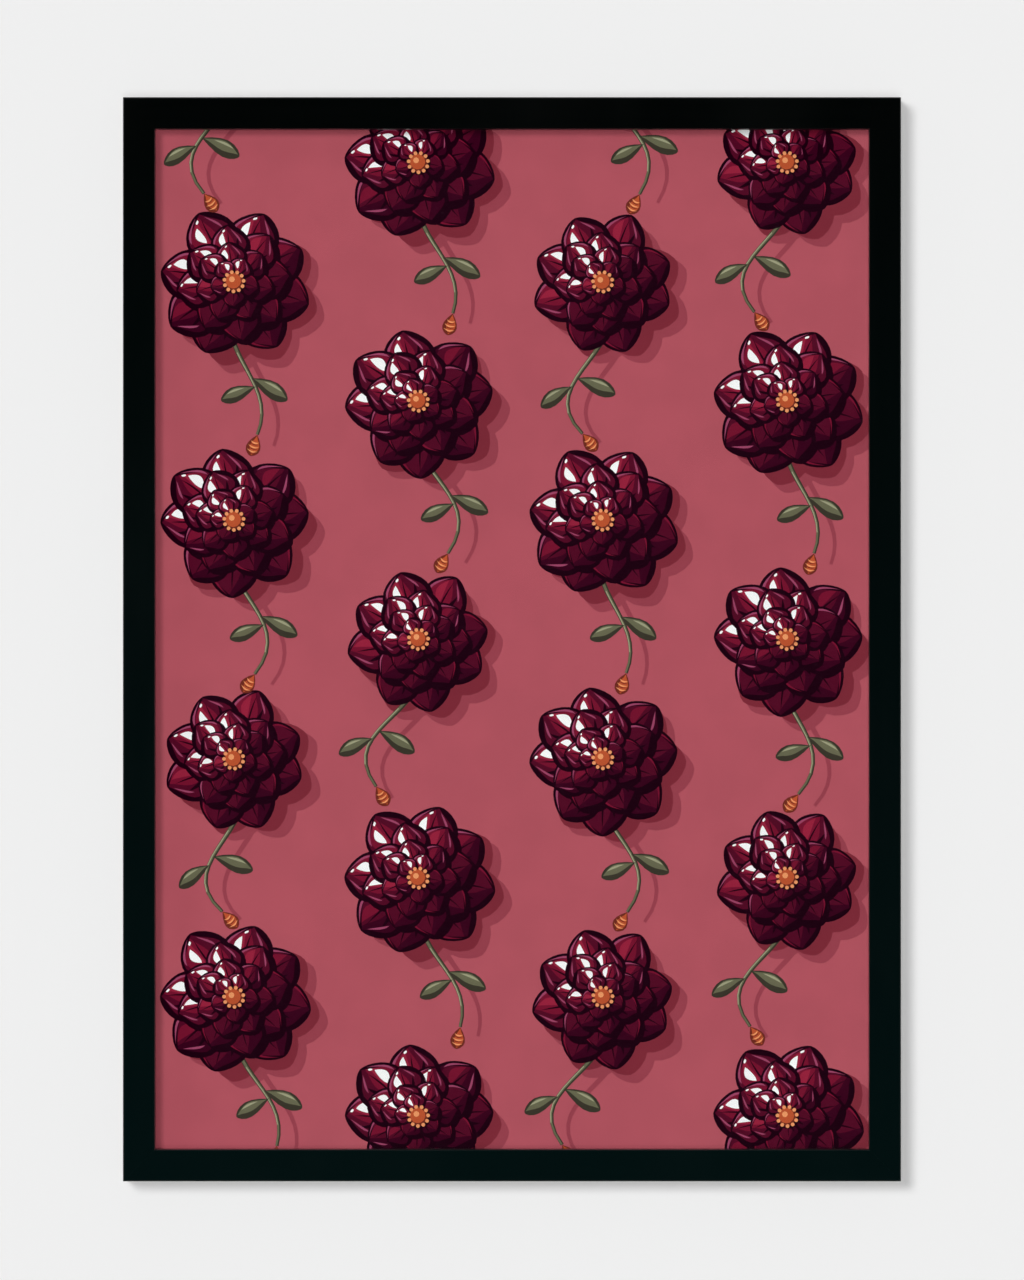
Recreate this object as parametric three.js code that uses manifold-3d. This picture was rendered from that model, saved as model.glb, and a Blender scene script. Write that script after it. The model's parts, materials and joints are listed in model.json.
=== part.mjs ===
// A wall-hung picture frame for an ISO A3 print: four mitred lengths of rebated wooden moulding, a glass
// pane, the print, a backing board held by bendable steel points, a sawtooth hanger and two wall bumpers.
// Millimetres, +Z up, the front facing -Y. The origin is the middle notch of the hanger, in the plane of
// the wall, which is Y = 0.

import * as THREE from "three";
import { mergeVertices } from "three/addons/utils/BufferGeometryUtils.js";
import Module from "manifold-3d";

const wasm = await Module();
wasm.setup();

// ---- Driving dimensions ----

const PRINT = { width: 297, height: 420, thick: 0.3 }; // an ISO A3 sheet
const LIP_COVER = 5; // how far the lip laps over the print on each side
const FACE = 12.8; // the moulding's width, seen from the front
const RAIL_DEPTH = 20; // the moulding, front to back
const LIP_DEPTH = 9; // the lip in front of the glass, front to back
const REBATE = 6; // the step that the sheets lie in, measured across the face
const STAND_OFF = 2.4; // from the wall to the back of the moulding
const FRAME_TOP = 7; // the frame's top edge, above the hanger's middle notch

const ARRIS = { front: 0.8, sight: 0.5, back: 0.4, steps: 4 }; // the rounding of the moulding's edges
const MITRE_GAP = 0.1; // the hairline between two mitred ends

const GLASS = { thick: 2, arris: 0.3 };
const BOARD = { thick: 2.5, arris: 0.3 };
const SEAT = 0.1; // the gap between pieces that lie on each other
const FOOT_GAP = 0.3; // under the sheets' lower edges, which stand on the bottom rail

// A bendable point: a steel tab pushed into the wall of the rebate and lying on the board.
const TAB = { width: 9, thick: 0.6, inside: 4, tip: 2, out: 11, round: 3, slack: 0.2 };
const TABS_ON_RAIL = [-80, 80]; // from the middle of a rail's length
const TABS_ON_STILE = [-140, 0, 140];

// A V-shaped nail driven into the back across each mitre. spread is the angle between its legs.
const NAIL = { leg: 4.4, thick: 0.5, tall: 10, spread: 84, slack: 0.2 };

const HANGER = { length: 44, raised: 25, ramp: 2, thick: 0.8, height: 8.1 };
const TOOTH = { pitch: 3.2, half: 1.4, depth: 1.6, each_side: 3 };
const SCREW = { at: 18, head: 2.6, head_tall: 1.2, shank: 1.2, long: 9, tip: 2.5 };
const RECESS = { long: 3, wide: 0.6, deep: 0.6 }; // the cross in a screw's head
const HOLE_SLACK = 0.3; // round a screw's shank
const BUMPER = { base: 3.2, face: 2.2, skirt: 0.8, from_end: 18 };
const ROUND_SIDES = 24;

// ---- Sizes that follow ----

const outer = {
  width: PRINT.width - 2 * LIP_COVER + 2 * FACE,
  height: PRINT.height - 2 * LIP_COVER + 2 * FACE,
};
const wall = FACE - REBATE; // the moulding's thickness behind the lip
const centreZ = FRAME_TOP - outer.height / 2;
const backY = -STAND_OFF;
const frontY = backY - RAIL_DEPTH;

// The stack of sheets, from the lip towards the wall.
const glassY = frontY + LIP_DEPTH + SEAT;
const printY = glassY + GLASS.thick + SEAT;
const boardY = printY + PRINT.thick + SEAT;
const tabY = boardY + BOARD.thick + SEAT;

const QUARTER = Math.PI / 2;

// ---- Materials ----

const finish = (color, roughness, metalness = 0) =>
  new THREE.MeshStandardMaterial({ color, roughness, metalness });

const lacquer = finish(0x040a0a, 0.45);
const glass = finish(0xe8f2ee, 0.05);
const paper = finish(0xac525e, 0.8);
const hardboard = finish(0x6b4a30, 0.85);
const zinc = finish(0xb9bcbe, 0.35, 1);
const rubber = finish(0x242424, 0.7);

glass.transparent = true;
glass.opacity = 0.2;

// ---- Solids from geometry, and back ----

function solidOf(geometry) {
  const bare = geometry.index ? geometry.toNonIndexed() : geometry.clone();
  bare.deleteAttribute("normal");
  bare.deleteAttribute("uv");
  const merged = mergeVertices(bare, 1e-4);
  const vertProperties = merged.attributes.position.array;
  const triVerts = new Uint32Array(merged.index.array);
  return new wasm.Manifold(new wasm.Mesh({ numProp: 3, vertProperties, triVerts }));
}

function geometryOf(solid) {
  const mesh = solid.getMesh();
  const geometry = new THREE.BufferGeometry()
    .setAttribute("position", new THREE.BufferAttribute(mesh.vertProperties, 3))
    .setIndex(new THREE.BufferAttribute(mesh.triVerts, 1))
    .toNonIndexed();
  geometry.computeVertexNormals();
  return geometry;
}

function cut(geometry, cutters) {
  const left = cutters.reduce((solid, cutter) => solid.subtract(solidOf(cutter)), solidOf(geometry));
  return geometryOf(left);
}

// ---- Shapes ----

// An outline drawn in X and Z, thickened along +Y from y.
function plate(shape, thick, y) {
  return new THREE.ExtrudeGeometry(shape, { depth: thick, bevelEnabled: false, curveSegments: 6 })
    .rotateX(QUARTER)
    .translate(0, y + thick, 0);
}

function outline(points) {
  return new THREE.Shape(points.map(([x, z]) => new THREE.Vector2(x, z)));
}

// A profile of [radius, y] pairs turned about the Y axis.
function turned(profile) {
  return new THREE.LatheGeometry(
    profile.map(([radius, y]) => new THREE.Vector2(radius, y)),
    ROUND_SIDES,
  );
}

function place(parent, name, geometry, material, x = 0, z = 0) {
  const mesh = new THREE.Mesh(geometry, material);
  mesh.name = name;
  mesh.position.set(x, 0, z);
  parent.add(mesh);
}

// ---- Moulding ----

// The section: x runs across the face from the outer edge, and y from the back to the front.
function mouldingSection() {
  const corners = [
    [0, 0, ARRIS.back],
    [wall, 0, ARRIS.back],
    [wall, RAIL_DEPTH - LIP_DEPTH, 0],
    [FACE, RAIL_DEPTH - LIP_DEPTH, 0],
    [FACE, RAIL_DEPTH, ARRIS.sight],
    [0, RAIL_DEPTH, ARRIS.front],
  ].map(([x, y, radius]) => ({ at: new THREE.Vector2(x, y), radius }));

  const points = corners.flatMap(({ at, radius }, i) => {
    if (!radius) return [at];
    const before = corners.at(i - 1).at.clone().sub(at).setLength(radius);
    const after = corners.at((i + 1) % corners.length).at.clone().sub(at).setLength(radius);
    const middle = at.clone().add(before).add(after);
    return Array.from({ length: ARRIS.steps + 1 }, (_, k) => {
      const turn = (k / ARRIS.steps) * QUARTER;
      return middle.clone().addScaledVector(after, -Math.cos(turn)).addScaledVector(before, -Math.sin(turn));
    });
  });
  return new THREE.Shape(points);
}

// One length along X, with its outer edge at z = 0 and its face towards -Y. Sliding each end point back by
// its distance from the outer edge makes the mitre.
function mitredLength(length) {
  const geometry = new THREE.ExtrudeGeometry(mouldingSection(), { depth: length, bevelEnabled: false });
  const at = geometry.attributes.position;
  for (let i = 0; i < at.count; i++) {
    const across = at.getX(i);
    const end = at.getZ(i) > length / 2 ? 1 : -1;
    const along = end * (length / 2 - across - MITRE_GAP / 2);
    at.setXYZ(i, along, backY - at.getY(i), across);
  }
  return geometry;
}

// ---- Steel points and corner nails ----

// A tab's outline, from its point inside the wall to its round end over the board.
function tabOutline() {
  const half = TAB.width / 2;
  const start = wall - TAB.inside;
  const shoulder = wall + TAB.out - TAB.round;
  const shape = new THREE.Shape();
  shape.moveTo(0, start);
  shape.lineTo(half, start + TAB.tip);
  shape.lineTo(half, shoulder);
  shape.absarc(half - TAB.round, shoulder, TAB.round, 0, QUARTER);
  shape.absarc(TAB.round - half, shoulder, TAB.round, QUARTER, 2 * QUARTER);
  shape.lineTo(-half, start + TAB.tip);
  return shape;
}

// The slot that a tab is pushed into, open to the rebate.
function tabSlot(x) {
  const half = TAB.width / 2 + TAB.slack;
  const start = wall - TAB.inside - TAB.slack;
  const shape = outline([
    [0, start],
    [half, start + TAB.tip],
    [half, wall + 1],
    [-half, wall + 1],
    [-half, start + TAB.tip],
  ]);
  return plate(shape, TAB.thick + 2 * TAB.slack, tabY - TAB.slack).translate(x, 0, 0);
}

// A V about the origin whose legs open along the mitre at a length's +X end. slack makes it the slot.
function cornerV(slack = 0) {
  const half = THREE.MathUtils.degToRad(NAIL.spread / 2);
  const mitre = THREE.MathUtils.degToRad(135);
  const thick = NAIL.thick / 2 + slack;
  const at = (turn, far) => [Math.cos(turn) * far, Math.sin(turn) * far];
  const legEnd = (leg, face) => {
    const turn = mitre + leg * half;
    const [x, z] = at(turn, NAIL.leg + slack);
    const [dx, dz] = at(turn + leg * face * QUARTER, thick);
    return [x + dx, z + dz];
  };
  const bend = thick / Math.sin(half);
  const shape = outline([
    at(mitre, -bend),
    legEnd(-1, 1),
    legEnd(-1, -1),
    at(mitre, bend),
    legEnd(1, -1),
    legEnd(1, 1),
  ]);
  return plate(shape, NAIL.tall + 2 * slack, backY - NAIL.tall - slack);
}

// ---- The four sides ----

const frame = new THREE.Group();

// One side of the frame with its points and the nail at its +X end. turn carries it round from the bottom,
// and distance is from the frame's centre to its outer edge.
function side({ name, length, turn, distance, tabs, corner, holes = [] }) {
  const group = new THREE.Group();
  group.rotation.y = turn;
  group.position.set(-Math.sin(turn) * distance, 0, centreZ - Math.cos(turn) * distance);
  frame.add(group);

  const nailX = (length - wall) / 2;
  const cutters = [
    ...tabs.map(tabSlot),
    cornerV(NAIL.slack).translate(nailX, 0, wall / 2),
    cornerV(NAIL.slack).rotateY(QUARTER).translate(-nailX, 0, wall / 2),
    ...holes,
  ];
  place(group, name, cut(mitredLength(length), cutters), lacquer);
  place(group, `corner_nail_${corner}`, cornerV(), zinc, nailX, wall / 2);
  tabs.forEach((x, i) => {
    place(group, `point_${name}_${i + 1}`, plate(tabOutline(), TAB.thick, tabY), zinc, x);
  });
  return group;
}

const screwHole = (x) =>
  turned([
    [0, backY - SCREW.long],
    [SCREW.shank + HOLE_SLACK, backY - SCREW.long],
    [SCREW.shank + HOLE_SLACK, backY + 1],
    [0, backY + 1],
  ]).translate(x, 0, wall / 2);

const rail = { length: outer.width, distance: outer.height / 2, tabs: TABS_ON_RAIL };
const stile = { length: outer.height, distance: outer.width / 2, tabs: TABS_ON_STILE };

const bottom = side({ ...rail, name: "rail_bottom", turn: 0, corner: "bottom_right" });
side({ ...stile, name: "stile_left", turn: QUARTER, corner: "bottom_left" });
side({
  ...rail,
  name: "rail_top",
  turn: 2 * QUARTER,
  corner: "top_left",
  holes: [screwHole(-SCREW.at), screwHole(SCREW.at)],
});
side({ ...stile, name: "stile_right", turn: 3 * QUARTER, corner: "top_right" });

// ---- Glass, print and board ----

// A sheet of the print's size with its long edges eased by arris.
function sheet(thick, arris, y) {
  const half = PRINT.width / 2 - arris;
  const tall = PRINT.height / 2 - arris;
  const shape = outline([
    [-half, -tall],
    [half, -tall],
    [half, tall],
    [-half, tall],
  ]);
  return new THREE.ExtrudeGeometry(shape, {
    depth: thick - 2 * arris,
    bevelEnabled: arris > 0,
    bevelThickness: arris,
    bevelSize: arris,
    bevelSegments: 1,
  })
    .rotateX(QUARTER)
    .translate(0, y + thick - arris, 0);
}

const sheetZ = centreZ - outer.height / 2 + wall + FOOT_GAP + PRINT.height / 2;
place(frame, "glass", sheet(GLASS.thick, GLASS.arris, glassY), glass, 0, sheetZ);
place(frame, "print", sheet(PRINT.thick, 0, printY), paper, 0, sheetZ);
place(frame, "backing_board", sheet(BOARD.thick, BOARD.arris, boardY), hardboard, 0, sheetZ);

// ---- Hanger, its screws and the bumpers ----

// A strip lying along the top rail, its middle raised to the wall and notched along the lower edge.
function hanger() {
  const pad = backY + SEAT + HANGER.thick; // the pads' face towards the wall
  const lean = HANGER.thick * Math.tan(Math.atan2(-pad, HANGER.ramp) / 2);
  const end = HANGER.length / 2;
  const top = HANGER.raised / 2;
  const foot = top + HANGER.ramp;
  const right = [
    [top, 0],
    [foot, pad],
    [end, pad],
    [end, pad - HANGER.thick],
    [foot - lean, pad - HANGER.thick],
    [top - lean, -HANGER.thick],
  ];
  const left = right.map(([x, y]) => [-x, y]).reverse();
  const strip = new THREE.ExtrudeGeometry(outline([...right, ...left]), {
    depth: HANGER.height,
    bevelEnabled: false,
  }).translate(0, 0, -TOOTH.depth);

  const below = TOOTH.depth + 1;
  const wide = (TOOTH.half * below) / TOOTH.depth;
  const notch = outline([
    [0, 0],
    [wide, -below],
    [-wide, -below],
  ]);
  const notches = Array.from({ length: 2 * TOOTH.each_side + 1 }, (_, i) =>
    plate(notch, 2 * STAND_OFF, -STAND_OFF).translate((i - TOOTH.each_side) * TOOTH.pitch, 0, 0),
  );
  const holes = [-SCREW.at, SCREW.at].map((x) => screwHole(x).translate(0, 0, FRAME_TOP - wall));
  return cut(strip, [...notches, ...holes]);
}

function screw() {
  const under = backY + 2 * SEAT + HANGER.thick;
  const top = under + SCREW.head_tall;
  const round = SCREW.head_tall / 2;
  const body = turned([
    [0, backY - SCREW.long + 2 * HOLE_SLACK],
    [SCREW.shank, backY - SCREW.long + SCREW.tip],
    [SCREW.shank, under],
    [SCREW.head, under],
    [SCREW.head, top - round],
    [SCREW.head - round / 2, top - round / 4],
    [SCREW.head - round, top],
    [0, top],
  ]);
  const slot = (wide, tall) => new THREE.BoxGeometry(wide, 2 * RECESS.deep, tall).translate(0, top, 0);
  return cut(body, [slot(RECESS.long, RECESS.wide), slot(RECESS.wide, RECESS.long)]);
}

function bumper() {
  const base = backY + SEAT;
  const slope = (BUMPER.base - BUMPER.face) / 2;
  return turned([
    [0, base],
    [BUMPER.base, base],
    [BUMPER.base, base + BUMPER.skirt],
    [BUMPER.face + slope, -slope / 2],
    [BUMPER.face, 0],
    [0, 0],
  ]);
}

const screwZ = FRAME_TOP - wall / 2;
place(frame, "hanger", hanger(), zinc);
place(frame, "hanger_screw_left", screw(), zinc, -SCREW.at, screwZ);
place(frame, "hanger_screw_right", screw(), zinc, SCREW.at, screwZ);

const bumperX = outer.width / 2 - BUMPER.from_end;
place(bottom, "bumper_left", bumper(), rubber, -bumperX, wall / 2);
place(bottom, "bumper_right", bumper(), rubber, bumperX, wall / 2);

export default frame;
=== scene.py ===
import json
import math
import random

import bmesh
import bpy
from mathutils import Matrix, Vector
from mathutils.bvhtree import BVHTree
from mathutils.geometry import delaunay_2d_cdt

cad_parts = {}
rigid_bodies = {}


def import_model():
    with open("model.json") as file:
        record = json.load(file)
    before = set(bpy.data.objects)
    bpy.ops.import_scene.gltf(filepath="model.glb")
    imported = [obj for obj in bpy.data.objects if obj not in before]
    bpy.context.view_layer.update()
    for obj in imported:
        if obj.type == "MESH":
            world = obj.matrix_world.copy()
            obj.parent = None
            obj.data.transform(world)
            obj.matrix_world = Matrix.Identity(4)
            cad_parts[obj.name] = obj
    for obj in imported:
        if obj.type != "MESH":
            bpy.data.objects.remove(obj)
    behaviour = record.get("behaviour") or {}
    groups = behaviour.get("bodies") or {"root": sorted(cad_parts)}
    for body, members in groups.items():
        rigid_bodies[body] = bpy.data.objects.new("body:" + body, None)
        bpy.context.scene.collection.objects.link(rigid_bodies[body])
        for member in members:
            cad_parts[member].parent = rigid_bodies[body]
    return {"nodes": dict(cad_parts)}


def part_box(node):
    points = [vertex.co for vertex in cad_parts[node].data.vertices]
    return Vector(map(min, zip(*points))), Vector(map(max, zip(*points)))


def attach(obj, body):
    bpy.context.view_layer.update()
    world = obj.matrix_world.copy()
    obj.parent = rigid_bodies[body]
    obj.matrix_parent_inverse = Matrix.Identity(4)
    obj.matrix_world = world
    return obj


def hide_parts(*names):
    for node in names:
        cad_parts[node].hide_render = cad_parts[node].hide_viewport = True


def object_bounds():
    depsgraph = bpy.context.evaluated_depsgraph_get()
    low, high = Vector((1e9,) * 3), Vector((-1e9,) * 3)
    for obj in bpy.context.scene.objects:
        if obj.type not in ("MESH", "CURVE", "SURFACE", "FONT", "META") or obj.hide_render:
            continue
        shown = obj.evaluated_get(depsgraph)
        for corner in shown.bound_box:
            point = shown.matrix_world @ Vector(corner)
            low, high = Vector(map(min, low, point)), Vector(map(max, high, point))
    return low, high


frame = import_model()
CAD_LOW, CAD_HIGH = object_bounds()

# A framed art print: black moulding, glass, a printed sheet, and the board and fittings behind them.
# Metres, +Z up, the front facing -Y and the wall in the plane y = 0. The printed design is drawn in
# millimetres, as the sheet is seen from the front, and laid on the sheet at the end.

MM = 0.001

# ---- Sizes from the frame ----

LENGTHS = ("rail_bottom", "rail_top", "stile_left", "stile_right")
RAIL_LOW, RAIL_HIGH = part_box("rail_bottom")
FRONT_Y = RAIL_LOW.y
BACK_Y = RAIL_HIGH.y
FACE = RAIL_HIGH.z - RAIL_LOW.z
HALF_X = (CAD_HIGH.x - CAD_LOW.x) / 2
HALF_Z = (CAD_HIGH.z - CAD_LOW.z) / 2
CENTRE_Z = (CAD_LOW.z + CAD_HIGH.z) / 2
REBATE = 6 * MM
WALL = FACE - REBATE  # the moulding's thickness behind its lip
LIP_DEPTH = 9 * MM  # from the front to the rebate
MITRE_GAP = 0.1 * MM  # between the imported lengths, closed here to a hairline
HAIRLINE = 0.01 * MM


# ---- Small tools for meshes ----

WELD = 0.001 * MM  # corners nearer than this are one


def new_object(name, data):
    piece = bpy.data.objects.new(name, data)
    bpy.context.scene.collection.objects.link(piece)
    return piece


def mesh_object(name, vertices, faces):
    mesh = bpy.data.meshes.new(name)
    mesh.from_pydata(vertices, [], faces)
    return new_object(name, mesh)


def dress(piece, material, node_names):
    """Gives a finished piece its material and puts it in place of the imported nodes."""
    piece.data.materials.clear()
    piece.data.materials.append(material)
    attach(piece, "root")
    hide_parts(*node_names)


def edit(mesh, change):
    """Lets change(shape) work on the mesh as a bmesh."""
    shape = bmesh.new()
    shape.from_mesh(mesh)
    change(shape)
    shape.to_mesh(mesh)
    shape.free()


def welded_copy(name, node_name):
    """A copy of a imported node's loose triangles, welded, and whole again where they are flat."""
    def weld(shape):
        bmesh.ops.remove_doubles(shape, verts=shape.verts, dist=WELD)
        flat = math.radians(0.5)
        bmesh.ops.dissolve_limit(shape, angle_limit=flat, verts=shape.verts, edges=shape.edges)
    mesh = frame["nodes"][node_name].data.copy()
    mesh.name = name
    edit(mesh, weld)
    return new_object(name, mesh)


def lofted(name, rings):
    """A closed solid through rings of points. An end is a single point or a ring that is closed flat."""
    faces = []
    low = 0
    for ring, following in zip(rings, rings[1:]):
        high = low + len(ring)
        sides = max(len(ring), len(following))
        for k in range(sides):
            after = (k + 1) % sides
            corners = (low + k % len(ring), low + after % len(ring),
                       high + after % len(following), high + k % len(following))
            faces.append(tuple(dict.fromkeys(corners)))
        low = high
    for start, ring in ((0, rings[0]), (low, rings[-1])):
        if len(ring) > 1:
            faces.append(tuple(range(start, start + len(ring))))
    piece = mesh_object(name, [point for ring in rings for point in ring], faces)
    edit(piece.data, lambda shape: bmesh.ops.recalc_face_normals(shape, faces=shape.faces))
    return piece


def on_circle(centre, radius, turn):
    """The point at this turn on a circle, in a plane."""
    return (centre[0] + radius * math.cos(turn), centre[1] + radius * math.sin(turn))


def disc(centre, radius, sides):
    return [on_circle(centre, radius, math.tau * k / sides) for k in range(sides)]


def arc(centre, radius, start, end, steps):
    """Points on an arc, from start to end in degrees."""
    turns = [math.radians(start + (end - start) * k / steps) for k in range(steps + 1)]
    return [on_circle(centre, radius, turn) for turn in turns]


def turned(name, centre, profile, sides):
    """A solid turned about the line along Y through centre, from a profile of (radius, y)."""
    rings = []
    for radius, y in profile:
        around = disc((centre.x, centre.z), radius, sides if radius else 1)
        rings.append([(x, y, z) for x, z in around])
    return lofted(name, rings)


def clamped(value, low=0.0, high=1.0):
    return min(max(value, low), high)


def shade_by_angle(piece, degrees):
    """Shades smooth across the edges that turn by less than this."""
    piece.data.shade_smooth()
    piece.data.set_sharp_from_angle(angle=math.radians(degrees))


def flat_faces_first(piece):
    """Keeps flat faces flat in the shading, so that only the roundings beside them turn."""
    weighted = piece.modifiers.new("weighted normals", "WEIGHTED_NORMAL")
    weighted.keep_sharp = True
    weighted.weight = 100


def apply_modifiers(piece):
    """Turns what the modifiers make into the piece's own plain mesh."""
    bpy.context.view_layer.update()
    seen = piece.evaluated_get(bpy.context.evaluated_depsgraph_get())
    mesh = bpy.data.meshes.new_from_object(seen)
    mesh.name = piece.name
    piece.modifiers.clear()
    piece.data = mesh


# ---- Small tools for node trees ----

def by_node(operation):
    return lambda left, right: maths(operation, left, right)


class Output:
    """One output of a node. In [] after it, a name or number gives another output of the same node.

    Arithmetic and comparison, with another output or a number, make Math nodes."""

    def __init__(self, socket):
        self.socket = socket
        self.tree = socket.id_data

    def __getitem__(self, name):
        return Output(self.socket.node.outputs[name])

    __add__ = by_node("ADD")
    __sub__ = by_node("SUBTRACT")
    __mul__ = by_node("MULTIPLY")
    __truediv__ = by_node("DIVIDE")
    __mod__ = by_node("MODULO")
    __gt__ = by_node("GREATER_THAN")
    __lt__ = by_node("LESS_THAN")


def feed(node, inputs):
    """Gives a node's inputs, by name or number, plain values or other nodes' outputs."""
    for name, value in inputs.items():
        if isinstance(value, Output):
            value.tree.links.new(value.socket, node.inputs[name])
        else:
            node.inputs[name].default_value = value


def add(tree, kind, inputs=None, **settings):
    """A new node's first output."""
    node = tree.nodes.new(kind)
    for name, value in settings.items():
        setattr(node, name, value)
    feed(node, inputs or {})
    return Output(node.outputs[0])


def maths(operation, *values):
    tree = next(value.tree for value in values if isinstance(value, Output))
    return add(tree, "ShaderNodeMath", dict(enumerate(values)), operation=operation)


def ramp(value, low, high, to_low=0.0, to_high=1.0, interpolation="SMOOTHSTEP"):
    """value from low..high carried to to_low..to_high, held at both ends."""
    return add(value.tree, "ShaderNodeMapRange", {
        "Value": value, "From Min": low, "From Max": high, "To Min": to_low, "To Max": to_high,
    }, interpolation_type=interpolation)


def blend(factor, first, second, mode="MIX"):
    """A mix of two colours. The numbers are those of the Mix node's sockets for colours."""
    inputs = {0: factor, 6: first, 7: second}
    return add(factor.tree, "ShaderNodeMix", inputs, data_type="RGBA", blend_type=mode)[2]


def noise(place, scale, detail=4.0, roughness=0.55):
    return add(place.tree, "ShaderNodeTexNoise", {
        "Vector": place, "Scale": scale, "Detail": detail, "Roughness": roughness,
    })


def cells(place, scale):
    return add(place.tree, "ShaderNodeTexVoronoi", {"Vector": place, "Scale": scale})


def stretched(place, stretch):
    """The place with each axis scaled, so that a pattern runs long on the small ones."""
    return add(place.tree, "ShaderNodeVectorMath", {0: place, 1: stretch}, operation="MULTIPLY")


def swung(place, angle, axis=(0.0, 1.0, 0.0)):
    return add(place.tree, "ShaderNodeVectorRotate", {"Vector": place, "Axis": axis, "Angle": angle})


def split(place):
    parts = add(place.tree, "ShaderNodeSeparateXYZ", {"Vector": place})
    return parts["X"], parts["Y"], parts["Z"]


def joined(tree, **parts):
    return add(tree, "ShaderNodeCombineXYZ", parts)


def object_place(tree):
    return add(tree, "ShaderNodeTexCoord")["Object"]


def bump(height, distance, strength):
    return add(height.tree, "ShaderNodeBump", {
        "Height": height, "Distance": distance, "Strength": strength,
    })


def new_group(kind, name, inputs, outputs):
    """A node group with named sockets of these kinds: (the group, what it is given, its end node)."""
    tree = bpy.data.node_groups.new(name, kind)
    for in_out, sockets in (("INPUT", inputs), ("OUTPUT", outputs)):
        for label, socket_kind in sockets.items():
            tree.interface.new_socket(label, in_out=in_out, socket_type=f"NodeSocket{socket_kind}")
    return tree, add(tree, "NodeGroupInput"), tree.nodes.new("NodeGroupOutput")


def use(group, place, **numbers):
    """What a shader group makes at this place."""
    return add(place.tree, "ShaderNodeGroup", {"Place": place, **numbers}, node_tree=group)


# ---- Effects that more than one material uses ----

def dust_group():
    """Specks and faint smears: a mask, and the roughness that they add."""
    tree, given, made = new_group(
        "ShaderNodeTree", "Dust and Smears",
        {"Place": "Vector", "Specks": "Float", "Smears": "Float"},
        {"Mask": "Float", "Roughness": "Float"},
    )
    place = given["Place"]
    size = ramp(noise(place, 90.0, 2.0), 0.50, 0.78, 0.0, 0.16)
    specks = (cells(place, 420.0)["Distance"] < size) * given["Specks"]
    runny = noise(stretched(place, (1.0, 1.0, 0.45)), 14.0, 5.0)
    smears = ramp(runny, 0.45, 0.72) * given["Smears"]
    feed(made, {
        "Mask": maths("MAXIMUM", specks, smears * 0.25),
        "Roughness": smears * 0.12 + specks * 0.3,
    })
    return tree


def fibre_group():
    """Fibres lying along the first axis of Place: a tone from 0 to 1 and a height."""
    tree, given, made = new_group(
        "ShaderNodeTree", "Fibres",
        {"Place": "Vector", "Fineness": "Float", "Length": "Float"},
        {"Tone": "Float", "Height": "Float"},
    )
    x, y, z = split(given["Place"])
    place = joined(tree, X=x / given["Length"], Y=y, Z=z)
    coarse = noise(place, given["Fineness"], 3.0, 0.6)
    fine = noise(stretched(place, (4.0, 4.0, 4.0)), given["Fineness"], 4.0, 0.65)
    height = fine * 0.4 + coarse * 0.6
    feed(made, {"Tone": ramp(height, 0.32, 0.68), "Height": height})
    return tree


def rolled_group():
    """Drawn or rolled metal: fine lines along the first axis of Place, with a few deeper scratches."""
    tree, given, made = new_group(
        "ShaderNodeTree", "Rolled Lines",
        {"Place": "Vector", "Wear": "Float"},
        {"Tone": "Float", "Roughness": "Float", "Height": "Float"},
    )
    place = given["Place"]
    lines = noise(stretched(place, (60.0, 2600.0, 2600.0)), 1.0, 3.0, 0.7)
    blotch = noise(place, 260.0, 3.0)
    slanting = swung(place, 0.6, (0.2, 1.0, 0.1))
    scratch = noise(stretched(slanting, (90.0, 900.0, 3200.0)), 1.0, 1.0)
    scratched = ramp(scratch, 0.66, 0.72) * given["Wear"]
    feed(made, {
        "Tone": ramp(blotch, 0.35, 0.7),
        "Roughness": scratched * 0.2 + (lines * 0.12 + blotch * 0.22),
        "Height": lines * 0.5 - scratched,
    })
    return tree


DUST = dust_group()
FIBRES = fibre_group()
ROLLED = rolled_group()


# ---- Materials ----

BLACK = (0.0, 0.0, 0.0, 1)
DUST_GREY = (0.2, 0.19, 0.18, 1)


def linear(red, green, blue):
    """A linear colour, with alpha, from 0-255 display values."""
    def channel(value):
        value /= 255
        return value / 12.92 if value <= 0.04045 else ((value + 0.055) / 1.055) ** 2.4
    return (channel(red), channel(green), channel(blue), 1.0)


def new_material(name):
    """A material with only a Principled shader: (material, its tree, the shader)."""
    material = bpy.data.materials.new(name)
    material.use_nodes = True
    tree = material.node_tree
    return material, tree, tree.nodes["Principled BSDF"]


def let_through(share, tint=(1.0, 1.0, 1.0, 1)):
    """Lets this share of the rays that meet the surface pass straight on, tinted."""
    tree = share.tree
    surface = Output(tree.nodes["Principled BSDF"].outputs[0])
    clear = add(tree, "ShaderNodeBsdfTransparent", {"Color": tint})
    mix = add(tree, "ShaderNodeMixShader", {0: share, 1: surface, 2: clear})
    feed(tree.nodes["Material Output"], {"Surface": mix})


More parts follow.
